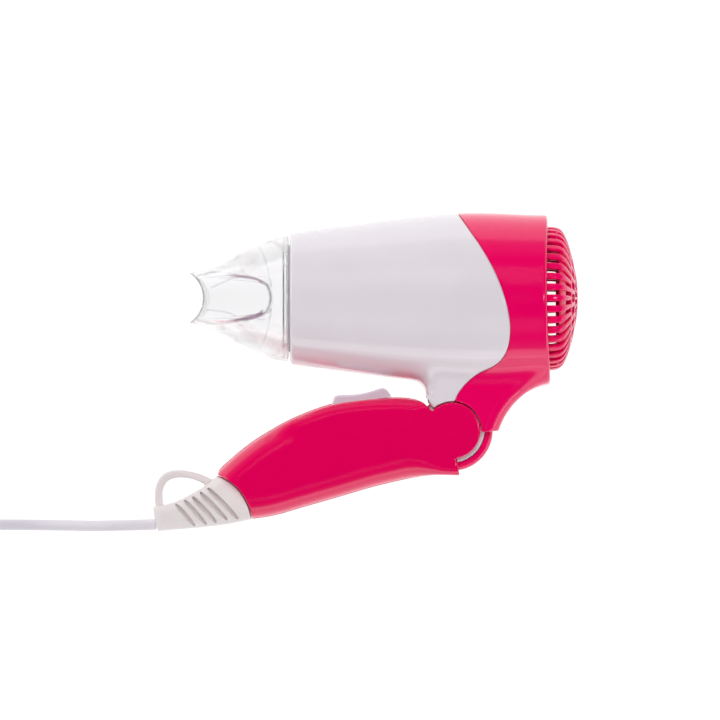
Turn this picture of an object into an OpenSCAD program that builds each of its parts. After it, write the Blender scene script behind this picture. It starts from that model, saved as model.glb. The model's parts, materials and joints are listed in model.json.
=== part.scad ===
// Folding travel hair dryer, lying on its side with the handle folded under the barrel.
// Millimetres. +X runs along the barrel towards the air inlet, +Y towards the top of the
// barrel, +Z is up from the surface that the dryer lies on. Z = 0 is that surface.

/* [Barrel] */
// Largest radius of the barrel
barrel_r_max = 39.3; // [38.8:0.1:39.6]
// Wall thickness of the moulded shells
wall = 2.2; // [1.8:0.1:2.6]
// Radius of the front rim's hole, which the outlet collar turns in
lip_r = 24.7; // [24.6:0.05:24.8]

/* [Hinge and handle] */
// Half thickness of the handle
handle_half = 18.3; // [17.8:0.1:18.4]
// Radius of the round cheeks of the handle fork
cheek_r = 12.8; // [12.4:0.1:12.9]
// Radius of the hinge pin
pin_r = 2.95; // [2.9:0.01:2.99]
// Height of the seam between the handle's two halves above the mid plane
seam_up = 5; // [4:0.5:6]

/* [Inlet grille] */
// Number of ribs round the grille
grille_ribs = 40; // [30:2:44]
// Width of the slots between the ribs
slot_w = 2.2; // [1.6:0.1:2.4]

/* [Fan] */
// Number of impeller blades
blades = 9; // [5:1:11]

/* [Cord] */
// Diameter of the mains cord
cord_d = 5; // [4.9:0.1:5.2]

/* [Hidden] */
$fn = 64;
zc = 39.3;             // height of the dryer's mid plane
ay = 33.9;             // barrel axis
hx = 39.7; hy = -26.6; // hinge axis
nh = 18.5;             // half thickness of the neck
ear_r = 14.5;          // white knuckle discs of the neck
ear_z = 14;            // their outer face above and below the mid plane
drum_r = 18.6;         // drum that closes the hinge between the knuckles
drum_z = 11;
PINK = [0.89, 0.0, 0.37];
PINK2 = [0.85, 0.0, 0.32];
WHITE = [0.93, 0.92, 0.93];
CREAM = [0.90, 0.88, 0.86];
CLEAR = [0.9, 0.93, 0.96, 0.35];
DARK = [0.2, 0.2, 0.22];
STEEL = [0.7, 0.7, 0.72];
MICA = [0.78, 0.72, 0.6];
COPPER = [0.72, 0.4, 0.2];

// Barrel radius along X
R_TAB = [[-33.7, 30.4], [-20, 32.2], [-9, 33.8], [2, 35.2], [13, 36.3], [21, 37.5],
         [32, 38.8], [41, 39.3], [50, 39.2], [58, 38.9], [70, 38.6], [78, 38.4], [82.2, 37.8], [83.6, 36.2]];
scale_r = barrel_r_max / 39.3;
// Joint between the white front shell and the rear shell, from the top down
S_CURVE = [[38.5, 80], [42.5, 72.8], [47.3, 65.2], [52.3, 57.6], [56.2, 50.9], [59, 45.4], [62, 38], [64.2, 31],
           [65.4, 24.8], [65.9, 19.7], [65.7, 15.8], [65, 11.4], [63.4, 7.5], [60.7, 4.1], [56.5, 1.5],
           [52, -0.4], [47.5, -3.8], [43.9, -7.6], [41.6, -11.1], [40.7, -14], [40.4, -20]];
// Side outline of the neck
NECK = [[20, 12], [21.5, -3.4], [24, -4.5], [26.3, -6.3], [27.3, -8.2], [27.4, -12.4], [31.7, -17], [36, -22],
        [46, -26.7], [61, -26.9], [62.7, -22.9], [64.1, -20.1], [65.5, -18.2], [68.6, -14], [71, -11.8],
        [73.7, -9.5], [76.5, -7.7], [80.3, -5.2], [83.6, -3.6], [83.6, 12]];
// Side outline of the handle, from the cord end along the top to the hinge and back below
GRIP = [[-68.1, -46.9], [-67.8, -45], [-66.1, -43.1], [-63.8, -41.2], [-59.7, -37.6], [-55.1, -33.9],
        [-50, -30.2], [-44, -26.6], [-37.6, -22.9], [-29.3, -19.1], [-22, -16.3], [-15.1, -14.2], [-8, -13],
        [-2.6, -12.3], [4.5, -11.7], [11.6, -11.4], [18, -11.5], [23.4, -12.4], [26.4, -13.9], [30.6, -17.8],
        [34, -22], [40, -27], [42, -38.8], [43.4, -47.5], [32.3, -47.3], [24, -48.2], [13, -50.5], [2, -53.2],
        [-9.1, -56.5], [-20.1, -59.7], [-31.2, -62.9], [-36.7, -64.6], [-42.2, -66], [-47.7, -67], [-52, -67.5],
        [-52.8, -63.6], [-54, -60.1], [-56.1, -56.2], [-59.3, -52.3], [-63.5, -49.2]];
// Side outline of the strain relief
RELIEF = [[-98, -61.8], [-91.3, -60.6], [-85.7, -58.7], [-80.4, -55.9], [-73.7, -52.1], [-71.6, -50.6],
          [-68.4, -47.1], [-63.7, -49.4], [-59.5, -52.5], [-56.3, -56.4], [-54.2, -60.3], [-53, -63.8],
          [-52.2, -67.5], [-62, -69.6], [-73.5, -71.3], [-95.4, -73.2], [-96.4, -71.3], [-96.8, -69]];
LOOP_OUT = [[-96, -62.4], [-97, -56.2], [-96.6, -52.7], [-94.9, -48.6], [-91.7, -46], [-86.4, -45], [-80.4, -45.7],
            [-75.1, -47.2], [-70.9, -48.9], [-72.5, -53.5], [-85, -60.5]];
LOOP_IN = [[-92.9, -62], [-93.3, -54.4], [-92, -51], [-89.6, -49.2], [-85.7, -48.5], [-81.1, -48.8],
           [-76.9, -50.2], [-73.9, -51.6], [-75, -55], [-85, -60.5]];
// Switch knob outline; it slides along a line that rises 8.2 degrees towards the hinge
slide_deg = 8.2;
KNOB = [[-15.8, -15], [-15.2, -13.4], [-14.1, -11.2], [-12.9, -10.6], [-6.8, -10.5], [-2.4, -10], [2, -8.9],
        [4.9, -8.1], [7.3, -7.5], [9.1, -7.8], [10.5, -8.9], [12, -11]];
// Housing screw stations: angle round the barrel axis and the X of the shell joint there
H_SCREWS = [[45, 52.4], [135, 52.4], [225, 64.9], [315, 64.9]];
h_screw_r = 34.3;
G_SCREWS = [[-46, -45.6], [-12, -42], [17, -41]];
// Route of the mains cord from the strain relief to the coil
LEAD = [[-96.5, -70, 39.3], [-102, -70.2, 39.2], [-108, -70.4, 38.2], [-114, -70.6, 36], [-120, -70.8, 32.4],
        [-126, -71, 28], [-132, -71, 23.1], [-138, -71, 18.2], [-144, -71, 13.6], [-150, -71, 9.6],
        [-156, -71, 6.4], [-162, -71, 4.2], [-168, -71, 3.1], [-176, -70.9, 3], [-186, -70.8, 3], [-198, -70.6, 3.1]];
// Route from the coil to the plug
TAIL = [[-247, -28, 12.8], [-247.2, -22, 12], [-247.4, -16, 10.6], [-247.5, -10, 9], [-247.5, -4, 7.7], [-247.5, 3, 7]];
coil_x = -214; coil_y = -37;
plug_x = -247.5;

function barrel_r(x) = lookup(x, R_TAB) * scale_r;
function unit(v) = v / norm(v);

// Solid of revolution about the barrel axis, from [x, radius] points
module revolve(pts) {
    translate([0, ay, zc]) rotate([0, 90, 0]) rotate_extrude() polygon([for (p = pts) [p[1], p[0]]]);
}
// Tube about the barrel axis
module ring(x0, x1, r0, r1) {
    translate([x0, ay, zc]) rotate([0, 90, 0]) difference() {
        cylinder(h = x1 - x0, r = r1);
        translate([0, 0, -1]) cylinder(h = x1 - x0 + 2, r = r0);
    }
}
module rod(x0, x1, r) {
    translate([x0, ay, zc]) rotate([0, 90, 0]) cylinder(h = x1 - x0, r = r);
}
// Outline extruded between two heights that are given from the mid plane
module slab(pts, z0, z1) {
    translate([0, 0, zc + z0]) linear_extrude(z1 - z0) polygon(pts);
}
module slab_in(pts, inset, z0, z1) {
    translate([0, 0, zc + z0]) linear_extrude(z1 - z0) offset(delta = -inset) polygon(pts);
}
// Cylinder on the hinge axis
module hub(r, z0, z1) {
    translate([hx, hy, zc + z0]) cylinder(h = z1 - z0, r = r);
}
// Round rod swept along points
module sweep(pts, r, sides, up) {
    n = len(pts);
    tan = [for (i = [0:n - 1]) unit(pts[min(i + 1, n - 1)] - pts[max(i - 1, 0)])];
    v = [for (i = [0:n - 1]) let (a = unit(cross(up, tan[i])), b = cross(tan[i], a))
         for (j = [0:sides - 1]) pts[i] + r * (cos(360 * j / sides) * a + sin(360 * j / sides) * b)];
    polyhedron(points = v, faces = concat(
        [[for (j = [0:sides - 1]) j]],
        [[for (j = [0:sides - 1]) (n - 1) * sides + sides - 1 - j]],
        [for (i = [0:n - 2]) for (j = [0:sides - 1]) let (k = (j + 1) % sides)
         [i * sides + j, (i + 1) * sides + j, (i + 1) * sides + k]],
        [for (i = [0:n - 2]) for (j = [0:sides - 1]) let (k = (j + 1) % sides)
         [i * sides + j, (i + 1) * sides + k, i * sides + k]]), convexity = 6);
}

// ---- casing ----
module casing_solid() {
    n = len(R_TAB);
    revolve(concat([[-33.7, 0]], [for (p = R_TAB) [p[0], p[1] * scale_r]], [[83.6, 0]]));
    slab(NECK, -nh, nh);
}
module casing_hollow() {
    revolve(concat([[-31.3, 0], [-31.3, barrel_r(-31.3) - wall]],
        [for (p = R_TAB) if (p[0] > -31 && p[0] < 81) [p[0], p[1] * scale_r - wall]],
        [[81.4, barrel_r(78) - wall], [81.4, 0]]));
    slab_in(NECK, wall, -nh + wall, nh - wall);
}
module casing() {
    difference() {
        casing_solid();
        casing_hollow();
        rod(-40, -30, lip_r);                 // outlet hole
        rod(80, 90, 33.1);                    // inlet hole
        hub(19, -ear_z - 0.3, ear_z + 0.3);   // room for the knuckles and the drum
        hub(cheek_r + 0.4, -nh - 1, nh + 1);  // recess for the handle's cheeks
    }
}
module front_side() {
    translate([0, 0, -1]) linear_extrude(90) polygon(concat(S_CURVE, [[40.4, -80], [-80, -80], [-80, 95], [38.5, 95]]));
}
module rear_side() {
    translate([0, 0, -1]) linear_extrude(90) polygon(concat(S_CURVE, [[40.4, -80], [130, -80], [130, 95], [38.5, 95]]));
}
// Screw boss along X between the casing's two shells
module boss_at(a, x0, x1, r) {
    translate([x0, ay + h_screw_r * sin(a), zc + h_screw_r * cos(a)]) rotate([0, 90, 0]) cylinder(h = x1 - x0, r = r);
}

module barrel_shell() {
    color(WHITE) difference() {
        union() {
            intersection() { casing(); front_side(); }
            for (s = [-1, 1]) {
                // knuckle disc and the web that joins it to the neck wall
                translate([hx, hy, zc + (s > 0 ? drum_z + 0.2 : -ear_z)]) cylinder(h = ear_z - drum_z - 0.2, r = ear_r);
                difference() {
                    translate([0, 0, zc + (s > 0 ? drum_z + 0.2 : -nh + 1)]) linear_extrude(nh - 1 - drum_z - 0.2)
                        polygon([[31.7, -16.6], [28.8, -11.8], [30, -7.5], [39.5, -7.5], [40.2, -12]]);
                    hub(cheek_r + 0.4, -nh, nh);
                }
            }
            for (s = H_SCREWS) intersection() {
                front_side();
                boss_at(s[0], s[1] - 13, s[1] - 0.1, 3.2);
                revolve(concat([[-30, 0]], [for (p = R_TAB) [p[0], p[1] * scale_r - 1]], [[83, 0]]));
            }
        }
        for (s = H_SCREWS) boss_at(s[0], s[1] - 12, s[1] + 1, 1.42);
        hub(3, -nh, nh);
    }
}

module rear_shell() {
    color(PINK) difference() {
        union() {
            intersection() { casing(); rear_side(); }
            for (s = H_SCREWS) intersection() {
                rear_side();
                boss_at(s[0], s[1] + 0.1, s[1] + 6, 3.2);
                revolve(concat([[-30, 0]], [for (p = R_TAB) [p[0], p[1] * scale_r - 1]], [[83, 0]]));
            }
            // hinge drum with its web to the neck's rear wall
            difference() {
                union() {
                    hub(drum_r, -drum_z, drum_z);
                    slab([[54, -18], [57, -13], [64, -17.8], [61.6, -24]], -drum_z, drum_z);
                }
                hub(16.6, -drum_z - 1, drum_z + 1);
                // wire windows towards the handle and up into the neck
                for (w = [[214, 278], [52, 128]]) translate([hx, hy, zc - 9.3]) linear_extrude(18.6)
                    polygon([[0, 0], for (i = [0:4]) let (a = w[0] + (w[1] - w[0]) * i / 4) 26 * [cos(a), sin(a)]]);
            }
        }
        for (s = H_SCREWS) { boss_at(s[0], s[1] - 1, s[1] + 7, 1.55); boss_at(s[0], s[1] + 4, s[1] + 7, 2.6); }
    }
}

module housing_screws() {
    color(STEEL) for (s = H_SCREWS) { boss_at(s[0], s[1] - 8, s[1] + 4.2, 1.4); boss_at(s[0], s[1] + 4.01, s[1] + 5.6, 2.5); }
}

DOME = [[83.8, 32.8], [87.6, 32.6], [90.2, 31.5], [93, 26.7], [95.8, 16.6], [97.2, 8], [98, 0]];
module inlet_grille() {
    color(PINK) difference() {
        union() {
            revolve(concat([[79.6, 30.9], [79.6, 32.8]], DOME, [[96.2, 0], [95.4, 8], [94, 16], [91.5, 25.8], [89.4, 29.8], [87.4, 30.9]]));
            ring(79, 81.2, 30.9, 34.6);
        }
        // windows in the skirt, and slots over the shoulder beyond a stiffening band
        for (i = [0:grille_ribs - 1]) translate([82, ay, zc]) rotate([360 * (i + 0.5) / grille_ribs, 0, 0]) {
            translate([0, -slot_w / 2, 28]) cube([5.8, slot_w, 12]);
            translate([7.3, -slot_w / 2, 21.8]) cube([16, slot_w, 18]);
        }
        // inner lattice
        for (i = [0:19]) translate([86.2, ay, zc]) rotate([360 * (i + 0.5) / 20, 0, 0])
            translate([0, -1, 8.5]) cube([20, 2, 9]);
    }
}

module outlet_guard() {
    color(DARK) {
        ring(-29.4, -28, 24.6, 27.6);
        ring(-29.4, -28, 14.6, 15.8);
        ring(-29.4, -28, 4.6, 5.8);
        for (a = [0, 60, 120]) translate([-29.4, ay, zc]) rotate([a, 0, 0]) translate([0, -0.6, 5.2]) cube([1.4, 1.2, 20]);
        for (a = [0, 60, 120]) translate([-29.4, ay, zc]) rotate([a, 0, 0]) translate([0, -0.6, -25.2]) cube([1.4, 1.2, 20]);
    }
}
module mica_liner() { color(MICA) ring(-27.8, 21, 26.3, 26.9); }
module mica_board_vertical() {
    color(MICA) difference() {
        translate([-26, ay - 21, zc - 0.4]) cube([43, 42, 0.8]);
        translate([-27, ay - 0.5, zc - 1]) cube([22.5, 1, 2]);
    }
}
module mica_board_horizontal() {
    color(MICA) difference() {
        translate([-26, ay - 0.4, zc - 21]) cube([43, 0.8, 42]);
        translate([-4.6, ay - 1, zc - 0.5]) cube([22, 2, 1]);
    }
}
module heater_coil() {
    turns = 7;
    color([0.75, 0.72, 0.68]) sweep([for (i = [0:20 * turns]) let (a = 18 * i)
        [-21 + 35 * i / (20 * turns), ay + 22.5 * cos(a), zc + 22.5 * sin(a)]], 0.9, 6, [1, 0, 0]);
}
module thermostat() { color(DARK) translate([2, ay + 5, zc + 0.5]) cube([11, 9, 5]); }
module thermal_fuse() { color(STEEL) translate([2, ay + 2.4, zc - 9]) rotate([0, 90, 0]) cylinder(h = 10, r = 1.8); }

module fan_duct() {
    color([0.35, 0.35, 0.37]) {
        ring(28, 76, 28.2, 29.8);
        difference() {
            ring(28, 30, 29, 35.6);
            translate([27, -4, zc - 2.2]) cube([4, 6.4, 8.6]);   // notch for the wires
        }
        ring(31, 55, 12.3, 13.8);
        for (i = [0:6]) translate([35, ay, zc]) rotate([360 * i / 7, 0, 0]) translate([0, -0.7, 13.2]) cube([14, 1.4, 15.4]);
    }
}
module motor_can() {
    color(STEEL) difference() {
        rod(28, 57, 12);
        rod(27, 55.6, 11);
        rod(50, 60, 1.2);
    }
}
module motor_magnets() {
    color(DARK) difference() {
        ring(32, 52, 9.3, 10.95);
        translate([30, ay - 3, zc - 15]) cube([24, 6, 30]);
    }
}
module motor_end_cap() {
    color([0.9, 0.9, 0.88]) difference() {
        union() { rod(26, 28, 11.9); rod(28, 29.4, 10.9); rod(24.6, 26, 4); }
        rod(23, 31, 1.2);
    }
}
module rectifier_board() {
    color([0.1, 0.4, 0.2]) {
        ring(22, 23.4, 2.5, 11);
        for (a = [45:90:315]) translate([18.4, ay + 8 * cos(a), zc + 8 * sin(a)]) rotate([0, 90, 0]) cylinder(h = 4, r = 1.5);
    }
}
module barrel_wires() {
    color([0.15, 0.3, 0.7]) sweep([[24.2, 21.5, 39.3], [24.5, 14, 39.3], [24.7, 6, 39.3], [26.6, 1, 39.3], [31, -3, 39.3], [35, -7, 39.3], [36, -12, 39.3], [34, -18, 39.3], [31.5, -24, 39.3], [29.5, -30, 39.3], [28.6, -35.6, 39.3]], 1.3, 8, [0, 0, 1]);
    color([0.5, 0.3, 0.15]) sweep([[24.2, 21.5, 43], [24.5, 14, 43], [24.7, 6, 43], [26.6, 1, 43], [31, -3, 43], [35, -7, 43], [36, -12, 43], [34, -18, 43], [31.5, -24, 43], [29.5, -30, 43], [28.6, -35.6, 43]], 1.3, 8, [0, 0, 1]);
}

// ---- fan ----
module fan_impeller() {
    color([0.3, 0.3, 0.32]) difference() {
        intersection() {
            union() {
                rod(60.5, 73.5, 8.5);
                for (i = [0:blades - 1]) translate([67, ay, zc]) rotate([360 * i / blades, 0, 0]) rotate([0, 0, 38])
                    translate([-7.5, -0.7, 7]) cube([15, 1.4, 21.5]);
            }
            rod(60, 74, 27.4);
        }
        rod(59, 70, 1.15);
    }
}
module motor_shaft() { color(STEEL) rod(25, 69.5, 1.15); }
module armature() {
    color(COPPER) difference() {
        union() { rod(34, 50, 8.8); rod(30.4, 33.6, 3.4); rod(33, 51.5, 5); }
        rod(29, 55, 1.15);
        for (a = [0, 60, 120]) translate([33.9, ay, zc]) rotate([a, 0, 0]) translate([0, -0.9, 5.2]) cube([16.2, 1.8, 5]);
        for (a = [0, 60, 120]) translate([33.9, ay, zc]) rotate([a, 0, 0]) translate([0, -0.9, -10.2]) cube([16.2, 1.8, 5]);
    }
}

// ---- outlet ----
module outlet_collar() {
    color([0.6, 0.6, 0.62]) revolve([[-36.2, 22.8], [-36.2, 24.2], [-35.8, 24.6], [-31, 24.6], [-31, 26.6], [-29.6, 26.6], [-29.6, 22.8]]);
}
// Concentrator outline: [x, half height, half width]
NZ = [[-36.5, 28.8, 28.8], [-38.7, 28.8, 28.8], [-43, 27.5, 28.6], [-51.4, 24.2, 28.2], [-60, 19.8, 27.9], [-68.4, 15.9, 27.6], [-77, 12.3, 27.4], [-81.4, 11.2, 27.3]];
module nozzle_solid(inset, cap) {
    n = len(NZ);
    s = 40;
    // section: a circle at the base that squares off towards the slot
    v = [for (i = [0:n - 1]) let (k = i / (n - 1), e = 1 - 0.45 * k, a = NZ[i][1] - inset, b = NZ[i][2] - inset,
             x = NZ[i][0] + (i == 0 ? cap : i == n - 1 ? -cap : 0))
         for (j = [0:s - 1]) let (t = 360 * j / s, c = cos(t), d = sin(t))
             [x, ay + a * sign(c) * pow(abs(c), e), zc + b * sign(d) * pow(abs(d), e)]];
    polyhedron(points = v, faces = concat(
        [[for (j = [0:s - 1]) s - 1 - j]],
        [[for (j = [0:s - 1]) (n - 1) * s + j]],
        [for (i = [0:n - 2]) for (j = [0:s - 1]) let (k = (j + 1) % s) [i * s + j, (i + 1) * s + k, (i + 1) * s + j]],
        [for (i = [0:n - 2]) for (j = [0:s - 1]) let (k = (j + 1) % s) [i * s + j, i * s + k, (i + 1) * s + k]]), convexity = 4);
}
module nozzle() {
    color(CLEAR) difference() {
        union() {
            difference() {
                nozzle_solid(0, 0);
                difference() { nozzle_solid(1.8, 4); rod(-38.3, -30, 40); }
            }
            rod(-38, -30.4, 22.72);   // spigot that pushes into the collar
        }
        rod(-40, -29, 21);
        // concave mouth at both narrow sides
        translate([-87.4, ay, zc - 40]) cylinder(h = 80, r = 13.1);
    }
}

// ---- handle ----
module grip_solid() {
    slab(GRIP, -13.5, 13.5);
    slab_in(GRIP, 1, -16.3, 16.3);
    slab_in(GRIP, 2.6, -handle_half, handle_half);
    hub(cheek_r, -handle_half, handle_half);
}
module grip_hollow() {
    slab_in(GRIP, wall, -12, 12);
    slab_in(GRIP, wall + 1.4, -handle_half + wall, handle_half - wall);
}
module grip() {
    difference() {
        union() {
            difference() { grip_solid(); grip_hollow(); }
            for (s = [-1, 1]) translate([hx, hy, zc + (s > 0 ? ear_z + 0.3 : -handle_half)]) cylinder(h = handle_half - ear_z - 0.3, r = cheek_r);
            // ledges for the strain relief
            for (p = G_SCREWS) translate([p[0], p[1], zc - handle_half + 1]) cylinder(h = 2 * handle_half - 2, r = 3.2);
        }
        hub(19.2, -ear_z - 0.3, ear_z + 0.3);
        hub(3, -17.6, 17.6);
        // switch seat and the slot that the knob's stem slides in
        slab([[-17.4, -15.65], [26, -9.4], [26, 0], [-17.4, 0]], -7, 7);
        slab([[-3.6, -20], [12.2, -20], [12.2, 0], [-3.6, 0]], -2, 2);
        // mouth for the cord
        translate([-70, -62, zc]) rotate([0, 90, 20]) cylinder(h = 24, r = 4);
    }
}
module handle_shell() {
    color(PINK2) difference() {
        grip();
        translate([-100, -90, zc + seam_up]) cube([200, 100, 60]);
        for (p = G_SCREWS) translate([p[0], p[1], zc - 20]) { cylinder(h = 40, r = 1.5); cylinder(h = 4.6, r = 2.9); }
    }
}
module handle_cover() {
    color(PINK2) difference() {
        grip();
        translate([-100, -90, zc + seam_up - 60]) cube([200, 100, 60]);
        for (p = G_SCREWS) translate([p[0], p[1], zc]) cylinder(h = 13, r = 1.42);
    }
}
module handle_screws() {
    color(STEEL) for (p = G_SCREWS) translate([p[0], p[1], zc - 17.2]) { cylinder(h = 1.8, r = 2.7); cylinder(h = 28, r = 1.4); }
}
module hinge_pin() { color(STEEL) hub(pin_r, -17.4, 17.4); }
module detent_spring() {
    color(STEEL) for (s = [-1, 1]) translate([0, 0, zc + s * 12.6 - 1.2]) linear_extrude(2.4)
        polygon([[26.6, -44.2], [27.2, -44.2], [28.1, -40.5], [28.1, -37.2], [25.9, -33.2], [24.2, -31], [23.7, -31.4],
                 [25.4, -33.6], [27.5, -37.3], [27.5, -40.4]]);
}
module switch_body() {
    color(DARK) difference() {
        translate([-14, -28, zc - 7]) cube([30, 10.2, 14]);
        translate([-4, -22, zc - 2.2]) cube([16.4, 6, 4.4]);
    }
}
module switch_knob() {
    color(WHITE) {
        slab(KNOB, -6.5, 6.5);
        slab([[-2.6, -21], [1.6, -21], [1.6, -12], [-2.6, -12.5]], -1.5, 1.5);
    }
}
module cord_clamp() {
    color([0.9, 0.9, 0.9]) difference() {
        translate([-70, -61.6, zc]) rotate([0, 0, 20]) translate([19, -4.5, -6]) cube([4, 8.5, 12]);
        translate([-70, -61.6, zc]) rotate([0, 90, 20]) cylinder(h = 40, r = 2.55);
    }
}
module cord_inner() {
    color([0.88, 0.87, 0.9]) translate([-70, -61.6, zc]) rotate([0, 90, 20]) translate([0, 0, 16]) cylinder(h = 14, r = 2.5);
}
module handle_wires() {
    color([0.15, 0.3, 0.7]) sweep([[22.6, -39.8, 39.3], [20.2, -35.6, 39.3], [18.8, -31, 39.3], [18.9, -27, 39.3], [18.4, -24.6, 39.3], [16.5, -24.2, 39.3]], 1.3, 8, [0, 0, 1]);
    color([0.5, 0.3, 0.15]) sweep([[22.6, -39.8, 43], [20.2, -35.6, 43], [18.8, -31, 43], [18.9, -27, 43], [18.4, -24.6, 43], [16.5, -24.2, 43]], 1.3, 8, [0, 0, 1]);
    color([0.15, 0.3, 0.7]) sweep([[-14.5, -24, 39.3], [-18, -24.2, 39.3], [-21.5, -26, 39.3], [-26, -30, 39.3], [-31, -38, 39.3], [-36, -46, 39.3], [-41.2, -50.6, 39.3]], 1.3, 8, [0, 0, 1]);
    color([0.5, 0.3, 0.15]) sweep([[-14.5, -24, 43], [-18, -24.2, 43], [-21.5, -26, 43], [-26, -30, 43], [-31, -38, 43], [-36, -46, 43], [-41.2, -50.6, 42.6]], 1.3, 8, [0, 0, 1]);
}

// ---- cord ----
module strain_relief() {
    color(CREAM) difference() {
        union() {
            intersection() {
                slab(RELIEF, -17, 17);
                hull() {
                    translate([-99, -75, zc - 6.5]) cube([1, 30, 13]);
                    translate([-70, -75, zc - 11]) cube([1, 30, 22]);
                    translate([-52, -75, zc - 16.6]) cube([1, 30, 33.2]);
                }
            }
            translate([0, 0, zc - 2.5]) linear_extrude(5) difference() { polygon(LOOP_OUT); polygon(LOOP_IN); }
        }
        translate([-70, -61.6, zc]) rotate([0, 90, 20]) cylinder(h = 40, r = 2.5);
    }
}
module cord_lead() { color([0.88, 0.87, 0.9]) sweep(LEAD, cord_d / 2, 10, [0, 1, 0]); }
module cord_coil() {
    color([0.88, 0.87, 0.9]) translate([coil_x, coil_y, 0.6]) difference() { cylinder(h = 15, r = 36.2); translate([0, 0, -1]) cylinder(h = 17, r = 20.8); }
}
module cord_tie() {
    color(DARK) translate([coil_x, coil_y, 0]) rotate([0, 0, 40]) difference() {
        translate([20, -2, 0]) cube([17, 4, 16.3]);
        difference() {
            translate([0, 0, 0.6]) cylinder(h = 15, r = 36.2);
            translate([0, 0, 0]) cylinder(h = 17, r = 20.8);
        }
    }
}
module cord_tail() { color([0.88, 0.87, 0.9]) sweep(TAIL, cord_d / 2, 10, [0, 0, 1]); }
module plug_body() {
    color([0.92, 0.91, 0.93]) difference() {
        translate([plug_x, 0, 0]) linear_extrude(14) polygon([[-4.5, 3], [4.5, 3], [5.5, 14], [9, 22], [15, 28], [17.2, 33], [17.5, 50], [16.5, 52], [-16.5, 52], [-17.5, 50], [-17.2, 33], [-15, 28], [-9, 22], [-5.5, 14]]);
        for (s = [-1, 1]) translate([plug_x + s * 9.5, 42, 7]) rotate([-90, 0, 0]) cylinder(h = 20, r = 1.9);
    }
}
module plug_pins() {
    color(STEEL) for (s = [-1, 1]) translate([plug_x + s * 9.5, 42, 7]) rotate([-90, 0, 0]) {
        cylinder(h = 10.5, r = 1.9);
        translate([0, 0, 10.2]) cylinder(h = 17.8, r = 2.4);
        translate([0, 0, 28]) cylinder(h = 1, r1 = 2.4, r2 = 1.4);
    }
}

barrel_shell();
rear_shell();
inlet_grille();
outlet_guard();
mica_liner();
mica_board_vertical();
mica_board_horizontal();
heater_coil();
thermostat();
thermal_fuse();
fan_duct();
motor_can();
motor_magnets();
motor_end_cap();
rectifier_board();
barrel_wires();
housing_screws();
fan_impeller();
motor_shaft();
armature();
outlet_collar();
nozzle();
handle_shell();
handle_cover();
hinge_pin();
detent_spring();
handle_screws();
switch_body();
cord_clamp();
cord_inner();
handle_wires();
strain_relief();
switch_knob();
cord_lead();
cord_coil();
cord_tie();
cord_tail();
plug_body();
plug_pins();
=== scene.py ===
import json
import math

import bpy
import numpy as np
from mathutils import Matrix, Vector


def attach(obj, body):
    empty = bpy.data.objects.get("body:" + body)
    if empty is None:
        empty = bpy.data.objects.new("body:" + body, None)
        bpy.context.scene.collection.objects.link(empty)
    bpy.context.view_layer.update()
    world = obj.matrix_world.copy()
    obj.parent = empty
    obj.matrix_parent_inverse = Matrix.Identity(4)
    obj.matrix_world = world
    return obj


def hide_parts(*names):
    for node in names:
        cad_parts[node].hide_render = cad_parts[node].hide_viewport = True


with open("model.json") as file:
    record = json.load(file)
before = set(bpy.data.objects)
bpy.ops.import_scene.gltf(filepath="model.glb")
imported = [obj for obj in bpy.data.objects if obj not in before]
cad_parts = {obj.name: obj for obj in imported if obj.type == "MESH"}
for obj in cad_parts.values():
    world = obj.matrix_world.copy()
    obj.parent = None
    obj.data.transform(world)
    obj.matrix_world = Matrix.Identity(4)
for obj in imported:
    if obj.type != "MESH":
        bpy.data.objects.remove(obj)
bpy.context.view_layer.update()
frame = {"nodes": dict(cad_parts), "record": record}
NODES = frame["nodes"]

# ------------------------------------------------------------------ main sizes, mm
ZC, AY = 39.3, 33.9
HX, HY = 39.7, -26.6
NH = 18.5
EAR_R, EAR_Z = 14.5, 14.0
DRUM_R = 18.6
CHEEK_R = 12.8
GRIP_H = 18.3
SEAM = 5.0
MM = 0.001

scene = bpy.context.scene

# ------------------------------------------------------------------ camera
cam_data = bpy.data.cameras.new("camera")
cam = bpy.data.objects.new("camera", cam_data)
scene.collection.objects.link(cam)
CAM_D = 3.2
cam_data.sensor_width = 36
cam_data.lens = 36 * CAM_D / 0.3312
cam.location = (-0.0026, 0.0056, ZC * MM + CAM_D)
cam.rotation_euler = (0, 0, 0)
cam_data.clip_start, cam_data.clip_end = 0.05, 20
scene.camera = cam


# ------------------------------------------------------------------ curve helpers
def curve(pts, step=0.6, sigma=2.0):
    """A smooth run through control points, resampled, ends kept."""
    p = np.array(pts, float)
    d = np.r_[0, np.cumsum(np.linalg.norm(np.diff(p, axis=0), axis=1))]
    n = max(int(d[-1] / step), 6)
    s = np.linspace(0, d[-1], n + 1)
    if len(p) == 2:
        return p[0] + (p[1] - p[0]) * (s / d[-1])[:, None]
    m = np.gradient(p, d, axis=0)
    i = np.clip(np.searchsorted(d, s, side="right") - 1, 0, len(d) - 2)
    h = (d[i + 1] - d[i])[:, None]
    t = ((s - d[i]) / (d[i + 1] - d[i]))[:, None]
    q = ((2 * t**3 - 3 * t**2 + 1) * p[i] + (t**3 - 2 * t**2 + t) * h * m[i]
         + (-2 * t**3 + 3 * t**2) * p[i + 1] + (t**3 - t**2) * h * m[i + 1])
    if sigma:
        st = d[-1] / n
        k = min(int(3 * sigma / st), n - 1)
        if k > 0:
            w = np.exp(-0.5 * (np.arange(-k, k + 1) * st / sigma) ** 2)
            w /= w.sum()
            ext = np.concatenate([2 * q[0] - q[k:0:-1], q, 2 * q[-1] - q[-2:-k - 2:-1]])
            q = np.stack([np.convolve(ext[:, c], w, "valid") for c in range(q.shape[1])], 1)
    return q


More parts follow.
